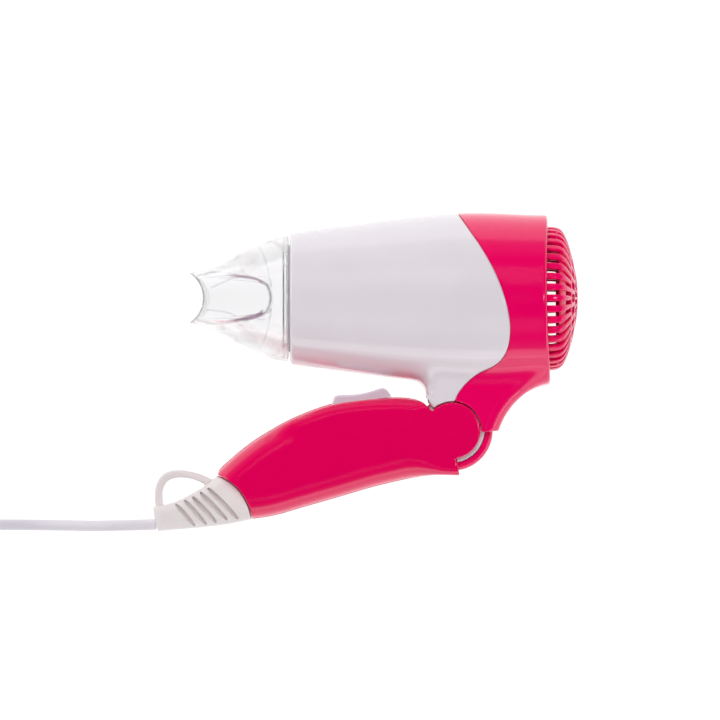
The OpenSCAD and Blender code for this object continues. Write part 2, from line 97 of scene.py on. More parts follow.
def joined(*runs):
    out = []
    for r in runs:
        r = np.array(r, float)
        if out and np.linalg.norm(out[-1][-1] - r[0]) < 1e-6:
            r = r[1:]
        if len(r):
            out.append(r)
    q = np.concatenate(out)
    if np.linalg.norm(q[0] - q[-1]) < 1e-6:
        q = q[:-1]
    return q


class Poly:
    """Signed distance to a closed outline, tabled on a fine grid. Negative inside."""

    def __init__(self, pts, h=0.25, pad=12.0):
        P = np.array(pts, float)
        self.h = h
        self.lo = P.min(0) - pad
        n = np.ceil((P.max(0) + pad - self.lo) / h).astype(int) + 1
        xs = self.lo[0] + h * np.arange(n[0])
        ys = self.lo[1] + h * np.arange(n[1])
        X, Y = np.meshgrid(xs, ys, indexing="ij")
        X, Y = X.astype(np.float32), Y.astype(np.float32)
        best = np.full(X.shape, 1e9, np.float32)
        odd = np.zeros(X.shape, bool)
        Q = np.roll(P, -1, axis=0)
        for (ax, ay), (bx, by) in zip(P, Q):
            ex, ey = bx - ax, by - ay
            L = ex * ex + ey * ey
            if L < 1e-12:
                continue
            wx, wy = X - np.float32(ax), Y - np.float32(ay)
            t = np.clip((wx * ex + wy * ey) / L, 0, 1)
            np.minimum(best, (wx - t * ex) ** 2 + (wy - t * ey) ** 2, out=best)
            if abs(ey) > 1e-12:
                j = ((ay > Y) != (by > Y)) & (X < np.float32(ax) + (Y - np.float32(ay)) * np.float32(ex / ey))
                odd ^= j
        self.t = np.sqrt(best)
        self.t[odd] *= -1

    def __call__(self, x, y):
        n = self.t.shape
        u = np.clip((np.asarray(x) - self.lo[0]) / self.h, 0, n[0] - 1.001)
        v = np.clip((np.asarray(y) - self.lo[1]) / self.h, 0, n[1] - 1.001)
        u, v = np.broadcast_arrays(u, v)
        i, j = u.astype(np.int32), v.astype(np.int32)
        a, b = u - i, v - j
        t = self.t
        return (t[i, j] * (1 - a) * (1 - b) + t[i + 1, j] * a * (1 - b)
                + t[i, j + 1] * (1 - a) * b + t[i + 1, j + 1] * a * b)


# ------------------------------------------------------------------ distance-field helpers
def smin(a, b, k):
    h = np.clip(0.5 + 0.5 * (b - a) / k, 0, 1)
    return b * (1 - h) + a * h - k * h * (1 - h)


def smax(a, b, k):
    return -smin(-a, -b, k)


def rounded(d2, w, r):
    """Outline distance d2 extruded to half height (w = |z| - half), edge rounded by r."""
    a, b = d2 + r, w + r
    return np.sqrt(np.maximum(a, 0) ** 2 + np.maximum(b, 0) ** 2) + np.minimum(np.maximum(a, b), 0) - r


def step01(x, a, b):
    t = np.clip((x - a) / (b - a), 0, 1)
    return t * t * (3 - 2 * t)


def contour(f, lo, hi, h):
    """Dual contouring of f < 0 on a grid: vertices sit on the surface and on its creases."""
    lo, hi = np.array(lo, float), np.array(hi, float)
    n = np.ceil((hi - lo) / h).astype(int) + 1
    ax = [lo[i] + h * np.arange(n[i]) for i in range(3)]
    F = f(ax[0][:, None, None], ax[1][None, :, None], ax[2][None, None, :])
    F = np.broadcast_to(F, tuple(n)).astype(np.float32)
    inside = F < 0
    pts, dirs, cells, quads = [], [], [], []
    nc = n - 1
    strides = np.array([nc[1] * nc[2], nc[2], 1])
    total = 0
    for a in range(3):
        s0 = [slice(None)] * 3
        s1 = [slice(None)] * 3
        s0[a], s1[a] = slice(None, -1), slice(1, None)
        A, B = inside[tuple(s0)], inside[tuple(s1)]
        idx = np.argwhere(A != B)
        b, c = [k for k in range(3) if k != a]
        ok = (idx[:, b] > 0) & (idx[:, b] < nc[b]) & (idx[:, c] > 0) & (idx[:, c] < nc[c])
        idx = idx[ok]
        if not len(idx):
            continue
        nxt = idx.copy()
        nxt[:, a] += 1
        f0 = F[idx[:, 0], idx[:, 1], idx[:, 2]].astype(float)
        f1 = F[nxt[:, 0], nxt[:, 1], nxt[:, 2]].astype(float)
        p0 = lo + idx * h
        ta, tb = np.zeros(len(idx)), np.ones(len(idx))
        fa, fb = f0.copy(), f1.copy()
        for _ in range(3):
            t = ta + (tb - ta) * np.clip(fa / (fa - fb + 1e-30), 0.05, 0.95)
            p = p0.copy()
            p[:, a] += t * h
            ft = f(p[:, 0], p[:, 1], p[:, 2])
            left = (ft < 0) == (fa < 0)
            ta, fa = np.where(left, t, ta), np.where(left, ft, fa)
            tb, fb = np.where(left, tb, t), np.where(left, fb, ft)
        t = ta + (tb - ta) * np.clip(fa / (fa - fb + 1e-30), 0, 1)
        p = p0.copy()
        p[:, a] += t * h
        pts.append(p)
        cell = idx @ strides
        around = np.stack([cell - strides[b] - strides[c], cell - strides[c], cell, cell - strides[b]], 1)
        # corner order for an edge along a: axes b, c
        flip = inside[idx[:, 0], idx[:, 1], idx[:, 2]]
        if a == 1:
            flip = ~flip
        around = np.where(flip[:, None], around, around[:, ::-1])
        cells.append(around)
        total += len(idx)
    P = np.concatenate(pts)
    C = np.concatenate(cells)
    e = 0.06 * h
    G = np.stack([f(P[:, 0] + e * (k == 0), P[:, 1] + e * (k == 1), P[:, 2] + e * (k == 2))
                  - f(P[:, 0] - e * (k == 0), P[:, 1] - e * (k == 1), P[:, 2] - e * (k == 2)) for k in range(3)], 1)
    N = G / np.maximum(np.linalg.norm(G, axis=1, keepdims=True), 1e-12)
    ids, inv = np.unique(C.ravel(), return_inverse=True)
    inv = inv.reshape(-1)
    m = len(ids)
    Pr, Nr = np.repeat(P, 4, axis=0), np.repeat(N, 4, axis=0)
    cnt = np.bincount(inv, minlength=m).astype(float)
    mass = np.stack([np.bincount(inv, Pr[:, k], m) for k in range(3)], 1) / cnt[:, None]
    rel = Pr - mass[inv]
    bb = (rel * Nr).sum(1)
    ATA = np.zeros((m, 3, 3))
    ATb = np.zeros((m, 3))
    for i in range(3):
        ATb[:, i] = np.bincount(inv, Nr[:, i] * bb, m)
        for j in range(i, 3):
            ATA[:, i, j] = ATA[:, j, i] = np.bincount(inv, Nr[:, i] * Nr[:, j], m)
    lam = 0.06 * cnt
    ATA[:, [0, 1, 2], [0, 1, 2]] += lam[:, None]
    V = mass + np.linalg.solve(ATA, ATb[:, :, None])[:, :, 0]
    cz = np.stack([ids // (nc[1] * nc[2]), (ids // nc[2]) % nc[1], ids % nc[2]], 1)
    c0 = lo + cz * h
    V = np.clip(V, c0 + 0.02 * h, c0 + 0.98 * h)
    for _ in range(2):
        f0 = f(V[:, 0], V[:, 1], V[:, 2])
        g = np.stack([f(V[:, 0] + e * (k == 0), V[:, 1] + e * (k == 1), V[:, 2] + e * (k == 2))
                      - f(V[:, 0] - e * (k == 0), V[:, 1] - e * (k == 1), V[:, 2] - e * (k == 2)) for k in range(3)], 1) / (2 * e)
        gg = np.maximum((g * g).sum(1), 0.2)
        move = -g * (f0 / gg)[:, None]
        ln = np.linalg.norm(move, axis=1, keepdims=True)
        V = V + move * np.minimum(1, 0.3 * h / np.maximum(ln, 1e-12))
    return V, inv.reshape(-1, 4)


def to_object(name, V, Q, sharp=50.0):
    """Quads (or triangles) in mm to a Blender object in metres."""
    me = bpy.data.meshes.new(name)
    V = np.asarray(V, np.float32) * MM
    k = Q.shape[1]
    me.vertices.add(len(V))
    me.vertices.foreach_set("co", V.ravel())
    me.loops.add(Q.size)
    me.loops.foreach_set("vertex_index", Q.ravel().astype(np.int32))
    me.polygons.add(len(Q))
    me.polygons.foreach_set("loop_start", (np.arange(len(Q)) * k).astype(np.int32))
    me.polygons.foreach_set("loop_total", np.full(len(Q), k, np.int32))
    me.update(calc_edges=True)
    me.validate()
    me.polygons.foreach_set("use_smooth", np.ones(len(me.polygons), bool))
    me.set_sharp_from_angle(angle=math.radians(sharp))
    o = bpy.data.objects.new(name, me)
    scene.collection.objects.link(o)
    return o


def solid(name, f, lo, hi, h, sharp=50.0, inner=None, keep=0.25):
    """A contoured solid. inner(V) marks hidden vertices, which are thinned out."""
    V, Q = contour(f, lo, hi, h)
    o = to_object(name, V, Q, sharp)
    if inner is not None:
        hid = inner(V[:, 0], V[:, 1], V[:, 2])
        if hid.any():
            vg = o.vertex_groups.new(name="hid")
            vg.add(np.nonzero(hid)[0].tolist(), 1.0, "REPLACE")
            md = o.modifiers.new("thin", "DECIMATE")
            md.vertex_group = "hid"
            share = hid.mean()
            md.ratio = 1 - share * (1 - keep)
            dg = bpy.context.evaluated_depsgraph_get()
            new = bpy.data.meshes.new_from_object(o.evaluated_get(dg))
            old = o.data
            o.modifiers.clear()
            o.vertex_groups.clear()
            o.data = new
            bpy.data.meshes.remove(old)
            new.name = name
    return o


# ------------------------------------------------------------------ materials
def principled(name):
    m = bpy.data.materials.new(name)
    m.use_nodes = True
    nt = m.node_tree
    return m, nt, nt.nodes["Principled BSDF"]


def noise(nt, scale, detail=3.0, rough=0.5, coord=None):
    n = nt.nodes.new("ShaderNodeTexNoise")
    n.inputs["Scale"].default_value = scale
    n.inputs["Detail"].default_value = detail
    n.inputs["Roughness"].default_value = rough
    nt.links.new(coord, n.inputs["Vector"])
    return n


def obj_coord(nt):
    return nt.nodes.new("ShaderNodeTexCoord").outputs["Object"]


def remap(nt, src, lo, hi, fmin=0.3, fmax=0.7):
    r = nt.nodes.new("ShaderNodeMapRange")
    r.inputs["From Min"].default_value = fmin
    r.inputs["From Max"].default_value = fmax
    r.inputs["To Min"].default_value = lo
    r.inputs["To Max"].default_value = hi
    nt.links.new(src, r.inputs["Value"])
    return r.outputs["Result"]


def plastic(name, color, color2=None, rough=0.28, spread=0.06, coat=0.0, bump=0.0002, grain=900.0, spec=0.5,
            cloud=60.0, subsurf=0.0, scratch=0.0):
    """Moulded plastic: faint flow clouding in the colour, uneven gloss, fine mould texture."""
    m, nt, b = principled(name)
    co = obj_coord(nt)
    big = noise(nt, cloud, 4.0, 0.55, co)
    ramp = nt.nodes.new("ShaderNodeValToRGB")
    c2 = color2 or [c * 0.93 for c in color]
    ramp.color_ramp.elements[0].position = 0.3
    ramp.color_ramp.elements[0].color = (*c2, 1)
    ramp.color_ramp.elements[1].position = 0.7
    ramp.color_ramp.elements[1].color = (*color, 1)
    nt.links.new(big.outputs["Fac"], ramp.inputs["Fac"])
    nt.links.new(ramp.outputs["Color"], b.inputs["Base Color"])
    mid = noise(nt, cloud * 5, 3.0, 0.6, co)
    nt.links.new(remap(nt, mid.outputs["Fac"], rough - spread, rough + spread), b.inputs["Roughness"])
    fine = noise(nt, grain, 2.0, 0.5, co)
    bp = nt.nodes.new("ShaderNodeBump")
    bp.inputs["Strength"].default_value = 0.35
    bp.inputs["Distance"].default_value = bump
    nt.links.new(fine.outputs["Fac"], bp.inputs["Height"])
    nt.links.new(bp.outputs["Normal"], b.inputs["Normal"])
    b.inputs["Specular IOR Level"].default_value = spec
    b.inputs["IOR"].default_value = 1.5
    if coat:
        b.inputs["Coat Weight"].default_value = coat
        b.inputs["Coat Roughness"].default_value = 0.04
    if subsurf:
        b.inputs["Subsurface Weight"].default_value = subsurf
        b.inputs["Subsurface Radius"].default_value = (0.004, 0.003, 0.003)
        b.inputs["Subsurface Scale"].default_value = 0.5
    return m


def metal(name, color, rough=0.3, brushed=True, scale=(20, 900, 900)):
    m, nt, b = principled(name)
    co = obj_coord(nt)
    mp = nt.nodes.new("ShaderNodeMapping")
    mp.inputs["Scale"].default_value = scale
    nt.links.new(co, mp.inputs["Vector"])
    n = noise(nt, 1.0, 3.0, 0.6, mp.outputs["Vector"])
    nt.links.new(remap(nt, n.outputs["Fac"], rough - 0.1, rough + 0.12), b.inputs["Roughness"])
    big = noise(nt, 150.0, 3.0, 0.5, co)
    ramp = nt.nodes.new("ShaderNodeValToRGB")
    ramp.color_ramp.elements[0].position = 0.3
    ramp.color_ramp.elements[0].color = (*[c * 0.85 for c in color], 1)
    ramp.color_ramp.elements[1].position = 0.7
    ramp.color_ramp.elements[1].color = (*color, 1)
    nt.links.new(big.outputs["Fac"], ramp.inputs["Fac"])
    nt.links.new(ramp.outputs["Color"], b.inputs["Base Color"])
    b.inputs["Metallic"].default_value = 1.0
    bp = nt.nodes.new("ShaderNodeBump")
    bp.inputs["Strength"].default_value = 0.2
    bp.inputs["Distance"].default_value = 0.0001
    nt.links.new(n.outputs["Fac"], bp.inputs["Height"])
    nt.links.new(bp.outputs["Normal"], b.inputs["Normal"])
    return m


def clear(name):
    m, nt, b = principled(name)
    co = obj_coord(nt)
    # painted shade: a vertex colour darkens the clear plastic's base colour where it is seen along its thickness
    at = nt.nodes.new("ShaderNodeVertexColor")
    at.layer_name = "painted_edge_shade"
    nt.links.new(at.outputs["Color"], b.inputs["Base Color"])
    b.inputs["Transmission Weight"].default_value = 1.0
    b.inputs["IOR"].default_value = 1.5
    b.inputs["Alpha"].default_value = 0.62
    n = noise(nt, 120.0, 3.0, 0.5, co)
    nt.links.new(remap(nt, n.outputs["Fac"], 0.0, 0.03), b.inputs["Roughness"])
    w = noise(nt, 45.0, 2.0, 0.5, co)
    bp = nt.nodes.new("ShaderNodeBump")
    bp.inputs["Strength"].default_value = 0.15
    bp.inputs["Distance"].default_value = 0.00012
    nt.links.new(w.outputs["Fac"], bp.inputs["Height"])
    nt.links.new(bp.outputs["Normal"], b.inputs["Normal"])
    return m


WHITE = plastic("white_shell", (0.88, 0.83, 0.88), (0.86, 0.81, 0.86), rough=0.16, spread=0.03, coat=0.6, subsurf=0.08, bump=0.00005)
PINK = plastic("pink_shell", (0.97, 0.0, 0.134), (0.94, 0.0, 0.127), rough=0.15, spread=0.03, coat=0.4, spec=0.35, bump=0.00004)
PINK_H = plastic("pink_handle", (0.91, 0.0, 0.112), (0.88, 0.0, 0.105), rough=0.16, spread=0.03, coat=0.4, spec=0.35, bump=0.00004)
CLEAR = clear("clear_nozzle")
COLLAR = plastic("grey_collar", (0.92, 0.88, 0.88), rough=0.4, grain=1200)
KNOB = plastic("knob_white", (0.82, 0.79, 0.90), (0.80, 0.77, 0.88), rough=0.22, coat=0.3, subsurf=0.08)
RELIEF = plastic("relief_pvc", (0.92, 0.86, 0.86), (0.88, 0.81, 0.81), rough=0.38, spread=0.08, bump=0.0004, grain=700, subsurf=0.15)
CORDM = plastic("cord_pvc", (0.84, 0.80, 0.86), (0.81, 0.77, 0.84), rough=0.4, bump=0.0003, grain=800, subsurf=0.1)
PLUGM = plastic("plug_pvc", (0.78, 0.76, 0.80), rough=0.45, bump=0.0005, grain=600)
DARK = plastic("dark_plastic", (0.03, 0.03, 0.033), rough=0.45, grain=900)
DUCT = plastic("duct_plastic", (0.09, 0.09, 0.095), rough=0.5, grain=700)
FANM = plastic("fan_plastic", (0.05, 0.05, 0.055), rough=0.35, grain=700)
TIE = plastic("tie_black", (0.02, 0.02, 0.02), rough=0.5)
MICA = plastic("mica", (0.55, 0.46, 0.32), (0.42, 0.34, 0.23), rough=0.35, cloud=250.0, grain=500, bump=0.0005)
PCB = plastic("pcb", (0.03, 0.16, 0.06), rough=0.35, cloud=300.0)
WIREM = plastic("wire_pvc", (0.04, 0.09, 0.4), rough=0.35)
NYLON = plastic("white_nylon", (0.75, 0.75, 0.72), rough=0.45, subsurf=0.1)
MAGNET = plastic("magnet", (0.05, 0.05, 0.055), rough=0.6, cloud=400.0, grain=500, bump=0.0006)
STEEL = metal("steel", (0.62, 0.62, 0.64), 0.3)
CHROME = metal("pin_metal", (0.82, 0.80, 0.76), 0.16)
NICHROME = metal("heater_wire", (0.50, 0.46, 0.42), 0.4)
COPPER = metal("copper", (0.72, 0.34, 0.16), 0.35)

SLOT = {"white_shell": WHITE, "pink_shell": PINK, "pink_handle": PINK_H, "clear_nozzle": CLEAR, "grey_collar": COLLAR,
        "knob_white": KNOB, "relief_pvc": RELIEF, "cord_pvc": CORDM, "plug_pvc": PLUGM, "pin_metal": CHROME,
        "tie_black": TIE, "dark_plastic": DARK, "duct_plastic": DUCT, "fan_plastic": FANM, "mica": MICA,
        "heater_wire": NICHROME, "steel": STEEL, "magnet": MAGNET, "copper": COPPER, "pcb": PCB, "wire_pvc": WIREM,
        "white_nylon": NYLON}
for sp in frame["record"]["subparts"]:
    o = NODES[sp["node"]]
    o.data.materials.clear()
    o.data.materials.append(SLOT[sp["material_slot"]])


def place(o, body, slot, *nodes):
    o.data.materials.clear()
    o.data.materials.append(SLOT[slot])
    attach(o, body)
    if nodes:
        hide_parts(*nodes)
    return o


# ------------------------------------------------------------------ cord
LEAD = [(-96.5, -70, 39.3), (-102, -70.2, 39.2), (-108, -70.4, 38.2), (-114, -70.6, 36), (-120, -70.8, 32.4),
        (-126, -71, 28), (-132, -71, 23.1), (-138, -71, 18.2), (-144, -71, 13.6), (-150, -71, 9.6),
        (-156, -71, 6.4), (-162, -71, 4.2), (-168, -71, 3.1), (-176, -70.9, 3), (-186, -70.8, 3), (-198, -70.6, 3.1)]
TAIL = [(-247, -28, 12.8), (-247.2, -22, 12), (-247.4, -16, 10.6), (-247.5, -10, 9), (-247.5, -4, 7.7), (-247.5, 3, 7)]
COIL = (-214.0, -37.0)


def coil_points():
    pts = []
    turns = 7.25
    n = int(turns * 40)
    for i in range(n + 1):
        a = turns * i / n
        if a < 3:
            r = 33.55 - 10.0 * a / 3
            z = 3.15
        elif a < 6:
            r = 23.55 + 10.0 * (a - 3) / 3
            z = 8.0
        else:
            r = 33.55 - 1.2 * (a - 6)
            z = 12.85
        # climbs between layers over a third of a turn
        if 2.7 < a < 3.3:
            z = 3.15 + 4.85 * float(step01(a, 2.7, 3.3))
            r = 23.55 + 0.6 * abs(a - 3)
        if 5.7 < a < 6.3:
            z = 8.0 + 4.85 * float(step01(a, 5.7, 6.3))
            r = 33.3
        ph = math.radians(-90 - 360 * a)
        pts.append((COIL[0] + r * math.cos(ph), COIL[1] + r * math.sin(ph), z))
    return pts


route = list(LEAD[:-1]) + coil_points() + list(TAIL)
route = np.array(route, float)
route = curve(route, step=2.0, sigma=1.5)
cd = bpy.data.curves.new("mains_cord", "CURVE")
cd.dimensions = "3D"
sp = cd.splines.new("POLY")
sp.points.add(len(route) - 1)
sp.points.foreach_set("co", np.concatenate([route * MM, np.ones((len(route), 1))], 1).astype(np.float32).ravel())
cd.bevel_depth = 0.0025
cd.bevel_resolution = 5
cd.use_fill_caps = True
sp.use_smooth = True
cord = bpy.data.objects.new("mains_cord", cd)
scene.collection.objects.link(cord)
cd.materials.append(CORDM)
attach(cord, "handle")
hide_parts("cord_lead", "cord_coil", "cord_tail")

# ------------------------------------------------------------------ casing
R_PTS = np.array([(-33.7, 30.4), (-27, 31.3), (-20, 32.2), (-9, 33.75), (2, 35.15), (13, 36.45), (21, 37.5), (32, 38.7), (41, 39.2),
                  (50, 39.25), (58, 39.0), (70, 38.7), (78, 38.45), (84, 38.3)])
R_FIT = np.polynomial.Polynomial.fit(R_PTS[:, 0], R_PTS[:, 1], 5)
R_DER = R_FIT.deriv()
X_FRONT = -34.6

S_PTS = [(36, 84), (42.5, 72.8), (47.3, 65.2), (52.3, 57.6), (56.2, 50.9), (59, 45.4), (62, 38), (64.2, 31),
         (65.4, 24.8), (65.9, 19.7), (65.7, 15.8), (65, 11.4), (63.4, 7.5), (60.7, 4.1), (56.5, 1.5),
         (52, -0.4), (47.5, -3.8), (43.9, -7.6), (41.6, -11.1), (40.7, -14), (40.3, -20), (40.3, -40)]
S_RUN = curve(S_PTS, 0.6, 1.6)
front_region = Poly(joined(S_RUN, [(-60, -40), (-60, 84)]), 0.25, 70)

neck_outline = joined(
    curve([(20, 22), (22, 6), (26.8, -2), (27.4, -8), (27.6, -12.4), (31.9, -17)], 0.6, 1.0),
    curve([(31.9, -17), (36, -22), (46, -26.8), (61.1, -26.9)], 0.6, 0.5),
    curve([(61.1, -26.9), (62.7, -22.9), (64.1, -20.1), (65.8, -17.6), (68.6, -14), (71, -11.8), (73.7, -9.5),
           (76.5, -7.7), (80.3, -5.4), (84.4, -3.5)], 0.6, 1.6),
    [(84.4, -3.5), (84.4, 22)], [(84.4, 22), (20, 22)])
neck2d = Poly(neck_outline, 0.25, 60)
# the same outline run on downwards, so that only the long edges are rounded over
neck_long = Poly(joined(
    curve([(20, 22), (22, 6), (26.8, -2), (27.4, -8), (27.6, -14), (28, -30), (28, -52)], 0.6, 1.0), [(28, -52), (56, -52)],
    curve([(56, -52), (58, -42), (59.6, -33), (61.1, -26.9), (62.7, -22.9), (64.1, -20.1), (65.8, -17.6), (68.6, -14), (71, -11.8),
           (73.7, -9.5), (76.5, -7.7), (80.3, -5.4), (84.4, -3.5), (90, -1)], 0.6, 1.6),
    [(90, -1), (96, 22)], [(96, 22), (20, 22)]), 0.25, 60)


def casing_solid(x, y, z):
    q = np.sqrt((y - AY) ** 2 + (z - ZC) ** 2)
    xc = np.clip(x, -36, 86)
    c = 1 / np.sqrt(1 + R_DER(xc) ** 2)
    b = (q - np.minimum(R_FIT(xc), 39.28)) * c
    w = np.abs(z - ZC) - (NH - 0.05)
    n = smax(rounded(neck_long(x, y), w, 8.0), rounded(neck2d(x, y), w, 0.7), 0.6)
    d = smin(b, n, 7.0)
    # the rear rim leans back towards the bottom and dips in at the sides
    rear = 83.45 + 1.3 * np.clip((AY + 38 - y) / 76, 0, 1.1) - 1.9 * np.clip((z - ZC) / 38.5, -1, 1) ** 2
    d = smax(d, x - rear, 1.5)
    return smax(d, X_FRONT - x, 1.6)


def casing(x, y, z):
    d = casing_solid(x, y, z)
    q = np.sqrt((y - AY) ** 2 + (z - ZC) ** 2)
    az = np.abs(z - ZC)
    hr = np.hypot(x - HX, y - HY)
    d = np.maximum(d, -(d + 2.2))
    d = smax(d, -np.maximum(q - 24.7, x + 30.0), 0.5)
    d = smax(d, -np.maximum(q - 33.15, 79.0 - x), 0.5)
    d = np.maximum(d, -np.maximum(hr - 19.0, az - (EAR_Z + 0.3)))
    return smax(d, CHEEK_R + 0.45 - hr, 0.9)


def front_shell(x, y, z):
    az = np.abs(z - ZC)
    hr = np.hypot(x - HX, y - HY)
    d = smax(casing(x, y, z), front_region(x, y) + 0.03, 1.0)
    ear = rounded(hr - EAR_R, np.abs(az - 12.6) - 1.4, 0.5)
    ang = np.degrees(np.arctan2(y - HY, x - HX))
    web = np.maximum(np.maximum(CHEEK_R + 0.45 - hr, hr - 19.5), np.maximum(11.2 - az, az - 17))
    web = np.maximum(web, np.maximum(88 - ang, ang - 128) * 0.3)
    d = np.minimum(d, np.minimum(ear, web))
    return np.maximum(d, 3.0 - hr)


def rear_shell(x, y, z):
    az = np.abs(z - ZC)
    hr = np.hypot(x - HX, y - HY)
    d = smax(casing(x, y, z), -front_region(x, y) + 0.02, 0.3)
    drum = rounded(hr - DRUM_R, az - 13.6, 3.4)
    drum = smax(drum, -np.maximum(hr - 14.95, 10.9 - az), 0.3)
    drum = np.maximum(drum, 14.85 - hr)
    ang = np.degrees(np.arctan2(y - HY, x - HX)) % 360
    drum = np.maximum(drum, np.where((ang > 100) & (ang < 172), hr - 15.9, -50.0))
    for a0, a1 in ((214, 278), (52, 128)):
        win = np.maximum(np.maximum(a0 - ang, ang - a1) * 0.3, az - 9.3)
        drum = np.maximum(drum, -win)
    web = np.maximum(np.maximum(hr - 19.3, 18.2 - hr), np.maximum(az - 10.5, np.maximum(3 - ang, ang - 45) * 0.3))
    return np.minimum(d, np.minimum(drum, web))


def hidden_in_casing(x, y, z):
    return casing_solid(x, y, z) < -1.5


STEP = 0.62
white = solid("front_shell_skin", front_shell, (-36, -44, -1), (67.5, 75, 79.6), STEP * 1.03, inner=hidden_in_casing, keep=0.1)
place(white, "barrel", "white_shell", "barrel_shell")
pink = solid("rear_shell_skin", rear_shell, (19, -47, -1), (86, 75, 79.6), STEP, inner=hidden_in_casing)
place(pink, "barrel", "pink_shell", "rear_shell")

# ------------------------------------------------------------------ inlet grille
G_OUT = np.array([(78.9, 32.75), (87.4, 32.75), (89.4, 32.1), (90.9, 30.4), (92.1, 28.0), (93.6, 23.8), (95.2, 18.0), (96.5, 11.8),
                  (97.4, 6.0), (97.8, 0.0), (97.8, -8)])
g_out = curve(G_OUT, 0.5, 1.2)
grille_body = Poly(joined(g_out, [(70, -8), (70, 32.75)]), 0.2, 20)


def sector(y, z, n, phase=0.0):
    """Angle to the nearest of n equal spokes; the caller scales it by the radius to get a chord offset."""
    a = np.arctan2(z - ZC, y - AY) - math.radians(phase)
    w = 2 * np.pi / n
    return np.abs((a + w / 2) % w - w / 2)


def inlet(x, y, z):
    q = np.sqrt((y - AY) ** 2 + (z - ZC) ** 2)
    o = grille_body(x, q)
    d = np.maximum(smax(o, -(o + 2.5), 0.4), 79.0 - x)
    # slots over the shoulder
    off = sector(y, z, 40, 4.5) * q
    s = np.maximum(np.maximum(off - (0.5 + 0.014 * q), 81.8 - x), np.maximum(22.6 - q, x - 99))
    band = np.maximum(np.maximum(88.2 - x, 24.6 - q), np.maximum(o + 1.6, x - 97))
    s = np.maximum(s, -band)
    d = smax(d, -s, 0.8)
    off2 = sector(y, z, 20, 0.0) * q
    s2 = np.maximum(off2 - (0.2 + 0.085 * q), np.maximum(15.9 - q, q - 21.0))
    s2 = np.maximum(s2, 90 - x)
    d = smax(d, -s2, 0.5)
    off3 = sector(y, z, 20, 9.0) * q
    s3 = np.maximum(off3 - (0.1 + 0.09 * q), np.maximum(8.6 - q, q - 14.2))
    s3 = np.maximum(s3, 90 - x)
    d = smax(d, -s3, 0.5)
    fl = np.maximum(np.maximum(79.05 - x, x - 81.15), np.maximum(30.9 - q, q - 34.5))
    return np.minimum(d, fl)


grille = solid("inlet_grille_skin", inlet, (78.3, AY - 35.4, ZC - 35.4), (98.8, AY + 35.4, ZC + 35.4), 0.46, sharp=40)
place(grille, "barrel", "pink_shell", "inlet_grille")

# ------------------------------------------------------------------ nozzle
NZ_X = np.array([-82.5, -81.4, -77, -68.4, -60, -51.4, -45.5, -41.5, -38.7, -35.5])
NZ_A = np.array([10.95, 11.2, 12.3, 15.9, 19.9, 24.1, 26.8, 28.15, 28.7, 28.8])
nz_xs = np.linspace(-84, -34, 101)
nz_as = np.interp(nz_xs, NZ_X, NZ_A)
kern = np.exp(-0.5 * (np.arange(-6, 7) * 0.5 / 1.5) ** 2)
kern /= kern.sum()
nz_as = np.convolve(np.r_[np.full(6, nz_as[0]), nz_as, np.full(6, nz_as[-1])], kern, "valid")
U_PTS = curve([(-96, 12.9), (-84, 12.5), (-77.5, 12.1), (-64.6, 11.5), (-55.6, 10.4), (-48.2, 8.6), (-46.2, 7.2), (-44.7, 5.2),
               (-43.7, 2.5), (-43.45, 0), (-43.7, -2.5), (-44.7, -5.2), (-46.2, -7.2), (-48.2, -8.6), (-55.6, -10.4),
               (-64.6, -11.5), (-77.5, -12.1), (-84, -12.5), (-96, -12.9)], 0.5, 0.9)
U2D = Poly(U_PTS, 0.25, 14)


NZ_P = ([-84, -77.5, -71, -64.6, -60, -55.6, -51.4, -48.2, -44, -34], [16, 14, 7.0, 4.1, 3.35, 2.75, 2.32, 2.06, 2, 2])
nz_ps = np.convolve(np.r_[np.full(6, 16.0), np.interp(nz_xs, *NZ_P), np.full(6, 2.0)], kern, "valid")


def nz_shape(x, y, z, inset, soft=1.0):
    xc = np.clip(x, -84, -34)
    a = np.interp(xc, nz_xs, nz_as) - inset
    p = 2 + (np.interp(xc, nz_xs, nz_ps) - 2) * soft
    b = 28.8 - inset
    u, v = np.abs(y - AY) / a, np.abs(z - ZC) / b
    m = np.maximum(np.maximum(u, v), 1e-6)
    s = m * ((u / m) ** p + (v / m) ** p) ** (1 / p)
    rho = np.sqrt((y - AY) ** 2 + (z - ZC) ** 2)
    return rho * (1 - 1 / np.maximum(s, 0.05)) * 0.9


def nozzle_f(x, y, z):
    o = nz_shape(x, y, z, 0)
    i = nz_shape(x, y, z, 1.7, 0.4)
    az = np.abs(z - ZC)
    q = np.sqrt((y - AY) ** 2 + (z - ZC) ** 2)
    u = U2D(x, y - AY) - 0.4
    floor_z = 27.35 - 0.9 * np.clip((-46 - x) / 36, 0, 1)
    sc = smax(u, floor_z - az, 0.6)
    d = smax(o, -sc, 0.3)
    # hollow, its side walls kept even under the flat faces
    i = smax(i, az - (floor_z - 1.9), 0.6)
    i = smax(i, x + 37.15, 0.3)
    d = smax(d, -i, 0.3)
    # thin skirt behind the web, over the front of the collar
    back = np.maximum(nz_shape(x, y, z, 1.6), -36.5 - x)
    d = smax(d, -back, 0.2)
    d = smax(d, x + 35.4, 0.5)
    spigot = np.maximum(q - 22.7, x + 30.4)
    d = np.minimum(d, np.maximum(spigot, -37.9 - x))
    d = smax(d, -np.maximum(q - 21.0, -60 - x), 0.3)
    mouth = 13.1 - np.hypot(x + 87.4, y - AY)
    d = smax(d, mouth, 1.1)
    return smax(d, -81.5 - x, 0.6)


